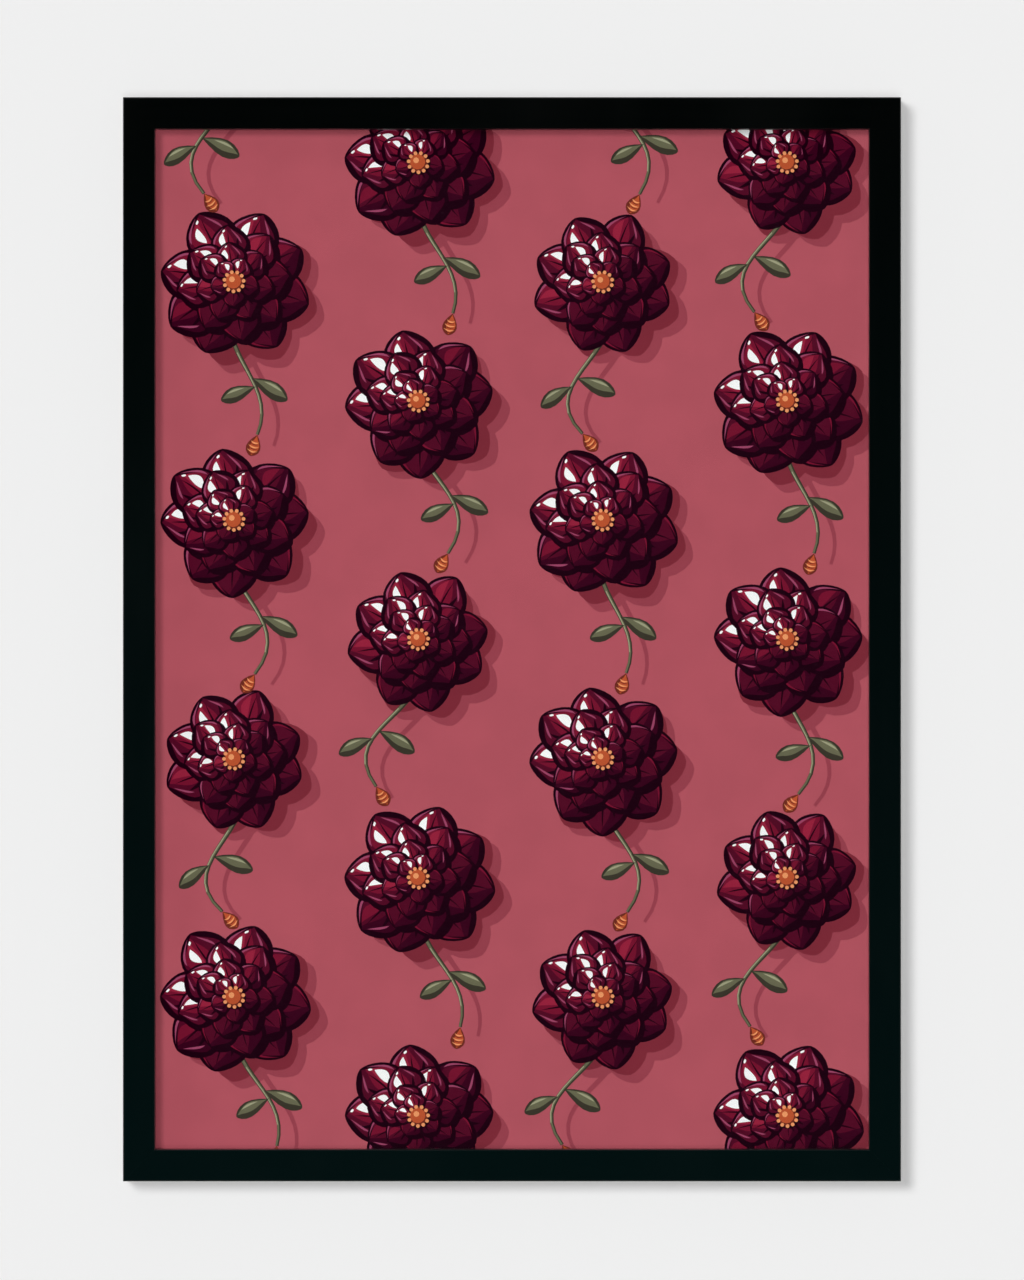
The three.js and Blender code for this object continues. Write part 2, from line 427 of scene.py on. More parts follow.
def lacquered_wood():
    """Black satin lacquer with a painted reflection that makes it a little lighter low down, over wood left
    bare on the back and in the rebate.

    The attribute "moulding" holds the place along the length, across the face and behind the front."""
    material, tree, shader = new_material("black lacquered wood")
    place = add(tree, "ShaderNodeAttribute", attribute_name="moulding")["Vector"]
    _, across, depth = split(place)
    _, _, height = split(object_place(tree))
    grain = use(FIBRES, place, Fineness=1500.0, Length=22.0)
    broad = use(FIBRES, place, Fineness=260.0, Length=30.0)
    dust = use(DUST, object_place(tree), Specks=0.35, Smears=0.5)

    ragged = noise(place, 420.0) * (-1.1 * MM) + across
    back = ramp(ragged, 0.0, 0.25 * MM) * (depth > BACK_Y - FRONT_Y - 0.03 * MM)
    in_rebate = (depth > LIP_DEPTH - 0.01 * MM) * (across > WALL - 0.02 * MM)
    bare = maths("MAXIMUM", back, in_rebate)

    wood = blend(ramp(broad["Tone"], 0.2, 0.9), (0.44, 0.275, 0.14, 1), (0.29, 0.155, 0.068, 1))
    wood = blend(ramp(grain["Tone"], 0.62, 0.95), wood, (0.15, 0.075, 0.032, 1))
    # Painted reflection: the black is made lighter and a little green-blue towards the bottom, standing in
    # for the lit room mirrored in it.
    up = ramp(height, CAD_LOW.z, CAD_HIGH.z, interpolation="LINEAR")
    black = blend(up, (0.0003, 0.0046, 0.0046, 1), (0.0002, 0.0006, 0.0005, 1))
    black = blend(grain["Tone"] * 0.12, black, BLACK)
    black = blend(dust["Mask"] * 0.015, black, (0.30, 0.29, 0.28, 1))
    satin = broad["Tone"] * 0.06 + (dust["Roughness"] + 0.29)
    feed(shader, {
        "Base Color": blend(bare, black, wood),
        "Roughness": maths("MAXIMUM", satin, bare * 0.78),
        "Specular IOR Level": 0.38,
        "Normal": bump(grain["Height"] * (bare * 0.85 + 0.15), 0.10 * MM, 0.6),
    })
    return material


def clear_glass():
    """Float glass. Lamps shine straight through it, so that it doesn't darken what lies behind."""
    material, tree, shader = new_material("clear float glass")
    feed(shader, {
        "Base Color": (0.985, 1.0, 0.993, 1),
        "Roughness": 0.0,
        "IOR": 1.5,
        "Transmission Weight": 1.0,
        "Specular IOR Level": 0.5,
    })
    let_through(add(tree, "ShaderNodeLightPath")["Is Shadow Ray"], (0.992, 1.0, 0.996, 1))
    return material


def printed_paper():
    """Ink on smooth heavy paper. The attribute "ink" holds the printed colour."""
    material, tree, shader = new_material("printed paper")
    printed = add(tree, "ShaderNodeAttribute", attribute_name="ink")["Color"]
    place = object_place(tree)
    tooth = noise(place, 2600.0, 3.0, 0.6)
    felt = use(FIBRES, place, Fineness=900.0, Length=3.0)
    dull = blend(ramp(noise(place, 55.0), 0.3, 0.7, 0.0, 0.06), printed, BLACK)
    lit_tooth = (1.0, 0.97, 0.95, 1)
    feed(shader, {
        "Base Color": blend(ramp(tooth, 0.35, 0.7, 0.0, 0.05), dull, lit_tooth, "SOFT_LIGHT"),
        "Roughness": ramp(felt["Height"], 0.3, 0.7, 0.62, 0.78),
        "Specular IOR Level": 0.25,
        "Normal": bump(tooth * 0.5 + felt["Height"] * 0.5, 0.03 * MM, 0.35),
    })
    return material


def pressed_hardboard():
    """Brown board of matted fibres, pressed on a wire screen whose weave marks its back."""
    material, tree, shader = new_material("pressed hardboard")
    place = object_place(tree)
    x, _, z = split(place)
    pitch = 1.6 * MM
    waves = [maths("SINE", part * (math.tau / pitch)) for part in (x, z)]
    weave = waves[0] * waves[1] * 0.5 + 0.5
    felted = ((0.0, 700.0, 4.0), (1.1, 640.0, 4.5), (2.4, 760.0, 5.0), (-0.5, 880.0, 4.0))
    flat, *pale = [
        use(FIBRES, swung(place, angle), Fineness=fineness, Length=length)
        for angle, fineness, length in felted
    ]
    cloud = ramp(noise(place, 22.0, 5.0), 0.3, 0.7)
    brown = blend(cloud, (0.175, 0.090, 0.043, 1), (0.250, 0.135, 0.066, 1))
    brown = blend(flat["Tone"] * 0.55, brown, (0.115, 0.056, 0.026, 1))
    for fibres in pale:
        brown = blend(ramp(fibres["Tone"], 0.78, 1.0, 0.0, 0.36), brown, (0.36, 0.22, 0.12, 1))
    feed(shader, {
        "Base Color": blend(weave * 0.28, brown, (0.085, 0.042, 0.020, 1)),
        "Roughness": ramp(flat["Height"], 0.3, 0.7, 0.62, 0.85),
        "Specular IOR Level": 0.3,
        "Normal": bump(weave * -0.7 + pale[0]["Height"] * 0.5, 0.18 * MM, 0.8),
    })
    return material


def bare_steel(name, bright, dark, roughness, wear, angle=0.0):
    """Steel with its rolling lines turned about Y by angle."""
    material, tree, shader = new_material(name)
    place = swung(object_place(tree), angle)
    lines = use(ROLLED, place, Wear=wear)
    dust = use(DUST, place, Specks=0.2, Smears=0.6)
    feed(shader, {
        "Base Color": blend(dust["Mask"] * 0.3, blend(lines["Tone"], bright, dark), dark),
        "Metallic": 1.0,
        "Roughness": lines["Roughness"] + dust["Roughness"] + roughness,
        "Normal": bump(lines["Height"], 0.02 * MM, 0.5),
    })
    return material


def zinc_plate(name, roughness):
    """Zinc-plated steel, with the soft crystals of its plating."""
    material, tree, shader = new_material(name)
    place = object_place(tree)
    crystals = add(tree, "ShaderNodeSeparateColor", {"Color": cells(place, 650.0)["Color"]})
    lines = use(ROLLED, place, Wear=0.7)
    dust = use(DUST, place, Specks=0.3, Smears=0.5)
    tone = blend(crystals, (0.62, 0.64, 0.66, 1), (0.47, 0.49, 0.51, 1))
    tone = blend(lines["Tone"] * 0.35, tone, (0.40, 0.40, 0.39, 1))
    feed(shader, {
        "Base Color": blend(dust["Mask"] * 0.4, tone, DUST_GREY),
        "Metallic": 1.0,
        "Roughness": crystals * 0.10 + (lines["Roughness"] + roughness),
        "Normal": bump(lines["Height"], 0.02 * MM, 0.4),
    })
    return material


def moulded_rubber():
    material, tree, shader = new_material("moulded rubber")
    place = object_place(tree)
    grain = noise(place, 3200.0, 3.0)
    dust = use(DUST, place, Specks=1.0, Smears=0.8)
    tone = blend(grain, (0.012, 0.012, 0.012, 1), (0.024, 0.023, 0.022, 1))
    feed(shader, {
        "Base Color": blend(dust["Mask"] * 0.35, tone, DUST_GREY),
        "Roughness": ramp(grain, 0.3, 0.7, 0.62, 0.82),
        "Normal": bump(grain, 0.04 * MM, 0.6),
    })
    return material


# ---- The printed design: a half-drop repeat of blooms, in millimetres ----

GLASS_PASSES = 0.90  # of the light that goes in through the glass and out again


def ink(red, green, blue):
    """The ink that shows as this colour, in 0-255 display values, from in front of the glass."""
    return (*(min(part / GLASS_PASSES, 1.0) for part in linear(red, green, blue)[:3]), 1.0)


INKS = {
    "ground": ink(172, 81.5, 93.5),
    "cast_shadow": ink(147, 63, 76),
    "near_shadow": ink(121, 41, 54),
    "ink_black": ink(27, 0, 14),
    "plum": ink(54, 2, 26),
    "maroon": ink(80, 9, 35),
    "crimson": ink(114, 18, 45),
    "wine": ink(146, 33, 59),
    "mauve": ink(153, 68, 100),
    "glint": ink(250, 245, 245),
    "bark": ink(56, 52, 42),
    "olive": ink(101, 100, 77),
    "lichen": ink(155, 154, 125),
    "russet": ink(108, 41, 30),
    "rust": ink(182, 81, 47),
    "apricot": ink(229, 149, 100),
}
INK_NAMES = list(INKS)
BARE_PAPER = (0.80, 0.79, 0.76, 1)
PETAL_TONES = ("ink_black", "plum", "maroon", "crimson", "wine")
DRAWN_LIGHT = math.radians(130)  # where the drawing's own light comes from
PETALS, PETAL_LENGTH, PETAL_HALF_WIDTH = 8, 30.0, 10.4  # of a bloom's outer ring
RINGS = (  # petals, shares of that length and width, turn, share that is covered, drop of the shade
    (PETALS, 1.0, 1.0, 0.0, 0.40, 0.0),
    (PETALS, 0.75, 0.79, math.pi / PETALS, 0.38, 1.4),
    (7, 0.52, 0.60, 0.2, 0.34, 1.2),
    (5, 0.32, 0.44, 0.5, 0.25, 0.9),
)
BLOOMS = (  # seed, turn, scale, end of the stem, how far the stem bows
    (3, 0.10, 1.00, (10, -61), 14),
    (8, 0.35, 0.95, (-12, -60), -16),
    (21, 0.60, 1.03, (14, -60), 6),
)
COLUMNS, COLUMN_STEP = 4, 74.25
ROWS, ROW_PITCH = 6, 96.0
LAYER_STEP = 0.01
NEAR = 1e-4  # corners nearer than this are one
STRAIGHT = 0.02  # a corner nearer than this to the line past it is dropped
WHOLE_HULL, INSIDE_OUTLINES = 0, 1  # what delaunay_2d_cdt keeps


class Petal:
    """A petal or leaf. u runs from its root to its tip, and v from edge to edge as -1 to 1."""

    def __init__(self, centre, turn, length, half_width, root=0.0, lean=0.0):
        self.centre = centre
        self.turn = turn
        self.length = length
        self.half_width = half_width
        self.root = root  # the share of the length that other petals cover
        self.lean = lean

    def at(self, u, v):
        reach = self.root + (1 - self.root) * u
        belly = math.sin(math.pi * clamped(reach) ** 1.45) ** 0.62
        x = reach * self.length
        y = v * belly * self.half_width + self.lean * reach * x
        cos, sin = math.cos(self.turn), math.sin(self.turn)
        return (self.centre[0] + x * cos - y * sin, self.centre[1] + x * sin + y * cos)

    def shape(self, places):
        return [self.at(u, v) for u, v in places]

    def outline(self, steps=9):
        us = [math.sin(math.pi / 2 * k / steps) for k in range(steps + 1)]
        return self.shape([(u, 1) for u in us] + [(u, -1) for u in us[-2::-1]])


def lit_side(turn):
    """The edge that is nearer the drawn light, as 1 or -1, of a petal that points this way."""
    return 1 if math.sin(DRAWN_LIGHT - turn) > 0 else -1


def streak(start, end, thick, belly=0.0, steps=6):
    """A lens-shaped stroke in petal places, from start to end, bowed sideways by belly."""
    up, down = [], []
    for k in range(steps + 1):
        t = k / steps
        swell = math.sin(math.pi * t)
        u = start[0] + (end[0] - start[0]) * t
        v = start[1] + (end[1] - start[1]) * t + belly * swell
        half = thick * swell**0.75
        up.append((u, v + half))
        down.append((u, v - half))
    return up + down[-2:0:-1]


def band(u, thick, steps=5):
    """A crescent across a bud, in petal places."""
    high, low = [], []
    for k in range(steps + 1):
        t = k / steps
        swell = math.sin(math.pi * t)
        low.append((u + 0.04 * swell, -0.8 + 1.6 * t))
        high.append((u + 0.04 * swell + thick * swell, -0.8 + 1.6 * t))
    return high + low[-2:0:-1]


def moved(points, x, y):
    return [(a + x, b + y) for a, b in points]


def paint_petal(drawing, petal, chance):
    """One glossy petal in flat tones, brighter the more it faces the drawn light."""
    lit = math.cos(petal.turn - DRAWN_LIGHT)
    side = lit_side(petal.turn)
    tone = 1 if lit > 0.3 else 0

    def stroke(ink_name, start, end, thick, belly=0.0, steps=6):
        places = streak((start[0], side * start[1]), (end[0], side * end[1]), thick, side * belly, steps)
        drawing.append((ink_name, petal.shape(places)))

    def about(value, spread):
        return value + chance.uniform(-spread, spread)

    drawing.append(("ink_black", petal.outline()))
    stroke(PETAL_TONES[1 + tone], (0, 0.05), (0.965, 0.04), 0.85, steps=9)
    stroke(PETAL_TONES[2 + tone], (about(0.05, 0.04), 0.12), (0.92, 0.30), about(0.50, 0.05), 0.08, 8)
    if lit > -0.6:
        core = PETAL_TONES[(3 if lit > -0.1 else 2) + tone]
        stroke(core, (about(0.28, 0.06), 0.16), (about(0.85, 0.03), 0.42), about(0.22, 0.05), 0.08)
    stroke("ink_black", (0, -0.14), (about(0.62, 0.10), -0.46), 0.08)
    stroke("ink_black", (0, 0), (about(0.84, 0.06), 0.06), 0.035, 0.03, 4)
    stroke("mauve" if lit > -0.3 else "crimson", (about(0.42, 0.08), 0.80), (0.93, 0.58), 0.06, 0.10)
    if lit > 0:
        stroke("mauve", (about(0.50, 0.06), -0.56), (0.88, -0.22), 0.06, -0.06)
    if lit > 0.42:
        stroke("glint", (about(0.32, 0.05), 0.26), (about(0.75, 0.03), 0.44), about(0.17, 0.03), 0.06, 8)
        stroke("glint", (0.79, 0.40), (0.875, 0.36), 0.10, steps=4)


def paint_ring(drawing, ring, centre, bloom_turn, scale, chance):
    """A ring of overlapping petals, those facing the light last, over the shade that they cast."""
    count, length, half_width, ring_turn, root, drop = ring
    first = bloom_turn + ring_turn
    turns = [first + k * math.tau / count for k in range(count)]
    turns.sort(key=lambda turn: math.cos(turn - DRAWN_LIGHT))
    petals = [
        Petal(
            centre,
            turn + chance.uniform(-0.06, 0.06),
            length * (PETAL_LENGTH * scale) * chance.uniform(0.95, 1.04),
            half_width * (PETAL_HALF_WIDTH * scale) * chance.uniform(0.96, 1.05),
            root,
            chance.uniform(-0.09, 0.09),
        )
        for turn in turns
    ]
    for petal in petals:
        drawing.append(("ink_black", moved(petal.outline(6), drop, -drop)))
    for petal in petals:
        paint_petal(drawing, petal, chance)


def ribbon(path, width_at):
    """The outline of a stroke along path, width_at(t) wide."""
    left, right = [], []
    last = len(path) - 1
    for k, (x, y) in enumerate(path):
        x0, y0 = path[max(k - 1, 0)]
        x1, y1 = path[min(k + 1, last)]
        half = width_at(k / last) / 2 / math.hypot(x1 - x0, y1 - y0)
        left.append((x - (y1 - y0) * half, y + (x1 - x0) * half))
        right.append((x + (y1 - y0) * half, y - (x1 - x0) * half))
    return left + right[::-1]


def curve(start, first_pull, second_pull, end, steps=12):
    """Points on a cubic curve."""
    points = []
    for k in range(steps + 1):
        t = k / steps
        weights = ((1 - t) ** 3, 3 * t * (1 - t) ** 2, 3 * t * t * (1 - t), t**3)
        pairs = list(zip(weights, (start, first_pull, second_pull, end)))
        points.append((sum(w * p[0] for w, p in pairs), sum(w * p[1] for w, p in pairs)))
    return points


def paint_leaf(drawing, base, turn, length, half_width, chance):
    side = lit_side(turn)
    leaf = Petal(base, turn, length, half_width, 0, chance.uniform(-0.12, 0.12))
    drawing.append(("bark", leaf.outline(7)))
    drawing.append(("olive", leaf.shape(streak((0.06, side * 0.22), (0.95, side * 0.22), 0.58, steps=7))))
    drawing.append(("lichen", leaf.shape(streak((0.30, side * 0.50), (0.80, side * 0.50), 0.14))))


def paint_stem(drawing, path, width):
    lit = moved(path, -0.12 * width, 0.05 * width)
    brightest = moved(path[3:-2], -0.22 * width, 0.08 * width)
    drawing.append(("bark", ribbon(path, lambda t: width * (1 - 0.35 * t))))
    drawing.append(("olive", ribbon(lit, lambda t: width * 0.55 * (1 - 0.4 * t))))
    drawing.append(("lichen", ribbon(brightest, lambda t: width * 0.2)))


def paint_bud(drawing, at, turn, length, half_width):
    """The banded rust-coloured bud at the end of a stem."""
    bud = Petal(at, turn, length, half_width)
    drawing.append(("russet", bud.outline(7)))
    drawing.append(("rust", bud.shape(streak((0.05, 0.15), (0.95, 0.10), 0.66))))
    for u in (0.32, 0.52, 0.72):
        drawing.append(("apricot", bud.shape(band(u, 0.07))))
        drawing.append(("russet", bud.shape(band(u + 0.09, 0.04))))


def paint_eye(drawing, anthers=11):
    """The bloom's middle: a rust-coloured button in a ring of anthers."""
    drawing.append(("ink_black", disc((-0.2, 0.2), 4.6, 14)))
    drawing.append(("russet", disc((-0.6, 0.6), 3.8, 14)))
    drawing.append(("rust", disc((-0.9, 0.9), 3.1, 12)))
    for k in range(anthers):
        at = on_circle((-0.6, 0.6), 3.9, math.tau * (k + 0.3) / anthers)
        drawing.append(("apricot", disc(at, 0.8, 7)))
    drawing.append(("apricot", disc((-1.5, 1.5), 1.2, 8)))


def paint_shadow(drawing, path, bloom_turn, scale):
    """The shadow of a stem and its bloom on the ground, darker close to the bloom."""
    drawing.append(("cast_shadow", ribbon(moved(path[1:], 7, -4), lambda t: 2.3 * (1 - 0.4 * t))))
    length, half_width = PETAL_LENGTH * scale, PETAL_HALF_WIDTH * scale
    turns = [bloom_turn + k * math.tau / PETALS for k in range(PETALS)]
    shading = [
        Petal((0, 0), turn, length, half_width, 0.3) for turn in turns if math.cos(turn - DRAWN_LIGHT) < 0.5
    ]
    for ink_name, offset in (("cast_shadow", (6.5, -6.0)), ("near_shadow", (3.2, -3.0))):
        drawing += [(ink_name, moved(petal.outline(7), *offset)) for petal in shading]


def bloom(seed, turn, scale, stem_end, stem_bend):
    """One bloom on its stem, as (ink, outline) in painting order."""
    chance = random.Random(seed)
    drawing = []
    path = curve((0, -18), (stem_bend * 0.2, -32), (stem_end[0] + stem_bend, -42), stem_end)
    paint_shadow(drawing, path, turn, scale)
    paint_stem(drawing, path, 2.1)
    paint_leaf(drawing, path[6], math.radians(-22), 17, 3.5, chance)
    paint_leaf(drawing, path[7], math.radians(204), 15, 3.2, chance)
    (x0, y0), (x1, y1) = path[-2:]
    paint_bud(drawing, path[-1], math.atan2(y1 - y0, x1 - x0), 9, 3)
    for k, ring in enumerate(RINGS):
        paint_ring(drawing, ring, (-0.2 * k, 0.2 * k), turn, scale, chance)
    paint_eye(drawing)
    return drawing


def signed_area(outline):
    return sum(a.x * b.y - b.x * a.y for a, b in zip(outline, outline[1:] + outline[:1])) / 2


def overlay(drawing):
    """Splits a drawing's outlines where they cross: (corners, triangles, the top ink of each)."""
    corners, faces = [], []
    for _, outline in drawing:
        outline = [Vector(point) for point in outline]
        if signed_area(outline) < 0:
            outline = outline[::-1]
        faces.append(list(range(len(corners), len(corners) + len(outline))))
        corners += outline
    corners, _, triangles, _, _, sources = delaunay_2d_cdt(corners, [], faces, INSIDE_OUTLINES, NEAR, True)
    covered = [(triangle, source) for triangle, source in zip(triangles, sources) if source]
    return corners, [triangle for triangle, _ in covered], [drawing[max(source)][0] for _, source in covered]


def ink_borders(triangles, inks):
    """Each corner's neighbours along the edges between two inks and along the outside."""
    sides = {}
    for triangle, ink_name in zip(triangles, inks):
        for a, b in zip(triangle, triangle[1:] + triangle[:1]):
            sides.setdefault((min(a, b), max(a, b)), []).append(ink_name)
    neighbours = {}
    for (a, b), pair in sides.items():
        if len(pair) == 1 or pair[0] != pair[1]:
            neighbours.setdefault(a, set()).add(b)
            neighbours.setdefault(b, set()).add(a)
    return neighbours


def straighten(neighbours, corners):
    """Drops each corner that all but lies on the line between its only two neighbours."""
    for corner in list(neighbours):
        if len(neighbours[corner]) != 2:
            continue
        a, b = neighbours[corner]
        side = corners[b] - corners[a]
        reach = corners[corner] - corners[a]
        if b in neighbours[a] or side.length < STRAIGHT:
            continue
        if abs(side.x * reach.y - side.y * reach.x) / side.length < STRAIGHT:
            del neighbours[corner]
            for end, other in ((a, b), (b, a)):
                neighbours[end].remove(corner)
                neighbours[end].add(other)


def fill_between(neighbours, corners, layers, layer_inks):
    """Triangles between the borders, each with the ink seen there from above the layers."""
    number = {corner: k for k, corner in enumerate(neighbours)}
    edges = sorted({tuple(sorted((number[a], number[b]))) for a in neighbours for b in neighbours[a]})
    corners = [corners[k] for k in neighbours]
    corners, _, pieces, *_ = delaunay_2d_cdt(corners, edges, [], WHOLE_HULL, NEAR, False)
    triangles, inks = [], []
    for triangle in pieces:
        middle = sum((corners[k] for k in triangle), Vector((0, 0))) / 3
        hit = layers.ray_cast((middle.x, middle.y, 1), (0, 0, -1))[2]
        if hit is not None:
            triangles.append(triangle)
            inks.append(layer_inks[hit])
    return corners, triangles, inks


def drawing_object(name, drawing):
    """A drawing as one flat layer of triangles, each with its ink's number."""
    corners, triangles, inks = overlay(drawing)
    layer = BVHTree.FromPolygons([(x, y, 0) for x, y in corners], triangles)
    neighbours = ink_borders(triangles, inks)
    straighten(neighbours, corners)
    corners, triangles, inks = fill_between(neighbours, corners, layer, inks)
    piece = mesh_object(name, [(x, y, 0) for x, y in corners], triangles)
    numbers = piece.data.attributes.new("ink_number", "INT", "FACE")
    numbers.data.foreach_set("value", [INK_NAMES.index(ink_name) for ink_name in inks])
    return piece


# ---- Geometry Nodes ----

def finish_tree(tree, geometry, material, made):
    real = add(tree, "GeometryNodeRealizeInstances", {"Geometry": geometry})
    dressed = add(tree, "GeometryNodeSetMaterial", {"Geometry": real, "Material": material})
    feed(made, {"Geometry": dressed})


def grow(name, tree, values):
    """Runs a geometry tree with these input values, and returns what it makes as a plain mesh object."""
    piece = mesh_object(name, [], [])
    modifier = piece.modifiers.new(name, "NODES")
    modifier.node_group = tree
    for socket in tree.interface.items_tree:
        if socket.in_out == "INPUT":
            modifier[socket.identifier] = values[socket.name]
    apply_modifiers(piece)
    return piece


def half_drop_tree():
    """Lays drawings out in columns, with every other column dropped by half a row.

    Each place takes the next drawing in turn, turned a little, and lies a step above the last."""
    tree, given, made = new_group("GeometryNodeTree", "Half Drop", {
        "Drawings": "Collection", "Kinds": "Int", "Columns": "Int", "Rows": "Int", "Column Step": "Float",
        "Row Pitch": "Float", "Layer Step": "Float", "Turn": "Float", "Seed": "Int", "Material": "Material",
    }, {"Geometry": "Geometry"})
    columns, rows = given["Columns"], given["Rows"]
    index = add(tree, "GeometryNodeInputIndex")
    column = index % columns
    row = maths("FLOOR", index / columns)
    x = (column - (columns - 1.0) * 0.5) * given["Column Step"]
    y = (row - (rows - 1.0) * 0.5 - column % 2.0 * 0.5) * given["Row Pitch"]
    points = add(tree, "GeometryNodePoints", {
        "Count": columns * rows, "Position": joined(tree, X=x, Y=y, Z=index * given["Layer Step"]),
    })
    drawings = add(tree, "GeometryNodeCollectionInfo", {
        "Collection": given["Drawings"], "Separate Children": True, "Reset Children": True,
    })
    least, most, turn = 2, 3, 1  # the Random Value node's sockets for single numbers
    chance = add(tree, "FunctionNodeRandomValue", {
        least: given["Turn"] * -1.0, most: given["Turn"], "Seed": given["Seed"],
    }, data_type="FLOAT")
    placed = add(tree, "GeometryNodeInstanceOnPoints", {
        "Points": points, "Instance": drawings, "Pick Instance": True,
        "Instance Index": (row * 2.0 + column) % given["Kinds"], "Rotation": joined(tree, Z=chance[turn]),
    })
    finish_tree(tree, placed, given["Material"], made)
    return tree


def round_the_rebate_tree():
    """Sets copies of one fixing in along the four sides of the rebate, all pointing inwards."""
    tree, given, made = new_group("GeometryNodeTree", "Round the Rebate", {
        "Fixing": "Object", "Half Width": "Float", "Half Height": "Float", "Centre": "Vector",
        "On Rails": "Int", "Rail Spread": "Float", "On Stiles": "Int", "Stile Spread": "Float",
        "Material": "Material",
    }, {"Geometry": "Geometry"})
    fixing = add(tree, "GeometryNodeObjectInfo", {"Object": given["Fixing"]})["Geometry"]
    rows = tree.nodes.new("GeometryNodeJoinGeometry")
    rail, stile = ("Half Height", "On Rails", "Rail Spread"), ("Half Width", "On Stiles", "Stile Spread")
    for k, (distance, count, spread) in enumerate((rail, stile, rail, stile)):
        out = given[distance] * -1.0
        half_spread = given[spread] * 0.5
        line = add(tree, "GeometryNodeMeshLine", {
            "Count": given[count],
            "Start Location": joined(tree, X=half_spread * -1.0, Z=out),
            "Offset": joined(tree, X=half_spread, Z=out),
        }, mode="END_POINTS")
        row = add(tree, "GeometryNodeInstanceOnPoints", {"Points": line, "Instance": fixing})
        feed(rows, {"Geometry": add(tree, "GeometryNodeTransform", {
            "Geometry": row, "Rotation": (0.0, k * math.tau / 4, 0.0), "Translation": given["Centre"],
        })})
    finish_tree(tree, Output(rows.outputs[0]), given["Material"], made)
    return tree


# ---- The moulding ----

GRAIN_STEP = 0.7  # from one length to the next in the pattern of the grain, so that none are alike


def along_and_across(name, point):
    """Where a point of one length lies along it, and how far in from its outer edge."""
    return {
        "rail_bottom": (point.x, point.z - CAD_LOW.z),
        "rail_top": (-point.x, CAD_HIGH.z - point.z),
        "stile_left": (CENTRE_Z - point.z, point.x - CAD_LOW.x),
        "stile_right": (point.z - CENTRE_Z, CAD_HIGH.x - point.x),
    }[name]


def moulding_length(name, material):
    """One mitred length, its ends drawn together to a hairline joint."""
    piece = welded_copy(f"{name}_moulding", name)
    mesh = piece.data
    half, axis, middle = (HALF_X, 0, 0) if name.startswith("rail") else (HALF_Z, 2, CENTRE_Z)
    for vertex in mesh.vertices:
        along, across = along_and_across(name, vertex.co)
        short = half - across - abs(along)
        if abs(short - MITRE_GAP / 2) < MITRE_GAP / 10:
            vertex.co[axis] += math.copysign(MITRE_GAP - HAIRLINE, vertex.co[axis] - middle) / 2
    place = mesh.attributes.new("moulding", "FLOAT_VECTOR", "POINT")
    shift = GRAIN_STEP * (1 + LENGTHS.index(name))
    for vertex, item in zip(mesh.vertices, place.data):
        along, across = along_and_across(name, vertex.co)
        item.vector = (along + shift, across, vertex.co.y - FRONT_Y)
    shade_by_angle(piece, 32)
    flat_faces_first(piece)
    dress(piece, material, [name])


# ---- The print ----

def repeat_pattern():
    """The drawings laid out over the sheet, still in layers."""
    kinds = bpy.data.collections.new("bloom kinds")
    for k, kind in enumerate(BLOOMS):
        piece = drawing_object(f"bloom_kind_{k + 1}", bloom(*kind))
        bpy.context.scene.collection.objects.unlink(piece)
        kinds.objects.link(piece)
    pattern = grow("repeat_pattern", half_drop_tree(), {
        "Drawings": kinds, "Kinds": len(BLOOMS), "Columns": COLUMNS, "Rows": ROWS,
        "Column Step": COLUMN_STEP, "Row Pitch": ROW_PITCH, "Layer Step": LAYER_STEP,
        "Turn": math.radians(7), "Seed": 4, "Material": None,
    })
    for kind in list(kinds.objects):
        bpy.data.objects.remove(kind)
    bpy.data.collections.remove(kinds)
    return pattern


def flat_print(half_x, half_y):
    """The printed face as flat triangles, in mm: (corners, triangles, the ink of each)."""
    rectangle = [(-half_x, -half_y), (half_x, -half_y), (half_x, half_y), (-half_x, half_y)]
    pattern = repeat_pattern()
    mesh = pattern.data
    places = [Vector((x, y, -1)) for x, y in rectangle] + [vertex.co.copy() for vertex in mesh.vertices]
    laid = [[len(rectangle) + k for k in face.vertices] for face in mesh.polygons]
    laid_inks = [INK_NAMES[item.value] for item in mesh.attributes["ink_number"].data]
    bpy.data.objects.remove(pattern)
    neighbours = {0: {1, 3}, 1: {0, 2}, 2: {1, 3}, 3: {2, 0}, **ink_borders(laid, laid_inks)}
    layers = BVHTree.FromPolygons(places, [(0, 1, 2), (0, 2, 3), *laid])
    flat = [place.to_2d() for place in places]
    corners, triangles, inks = fill_between(neighbours, flat, layers, ["ground", "ground", *laid_inks])
    on_sheet = [
        k for k, triangle in enumerate(triangles)
        if all(abs(sum(corners[c][axis] for c in triangle)) < 3 * half
               for axis, half in enumerate((half_x, half_y)))
    ]
    return corners, [triangles[k] for k in on_sheet], [inks[k] for k in on_sheet]


def paint_faces(faces, ink_layer, colour):
    for face in faces:
        for loop in face.loops:
            loop[ink_layer] = colour


def close_behind(shape, back_y, ink_layer):
    """Gives the flat front of the sheet its four sides and its plain back."""
    rim = [edge for edge in shape.edges if edge.is_boundary]
    made = bmesh.ops.extrude_edge_only(shape, edges=rim)["geom"]
    for vertex in made:
        if isinstance(vertex, bmesh.types.BMVert):
            vertex.co.y = back_y
    back_rim = [edge for edge in made if isinstance(edge, bmesh.types.BMEdge) and edge.is_boundary]
    back = bmesh.ops.contextual_create(shape, geom=back_rim)["faces"]
    sides = [face for face in made if isinstance(face, bmesh.types.BMFace)]
    paint_faces(back + sides, ink_layer, BARE_PAPER)
    bmesh.ops.recalc_face_normals(shape, faces=shape.faces)


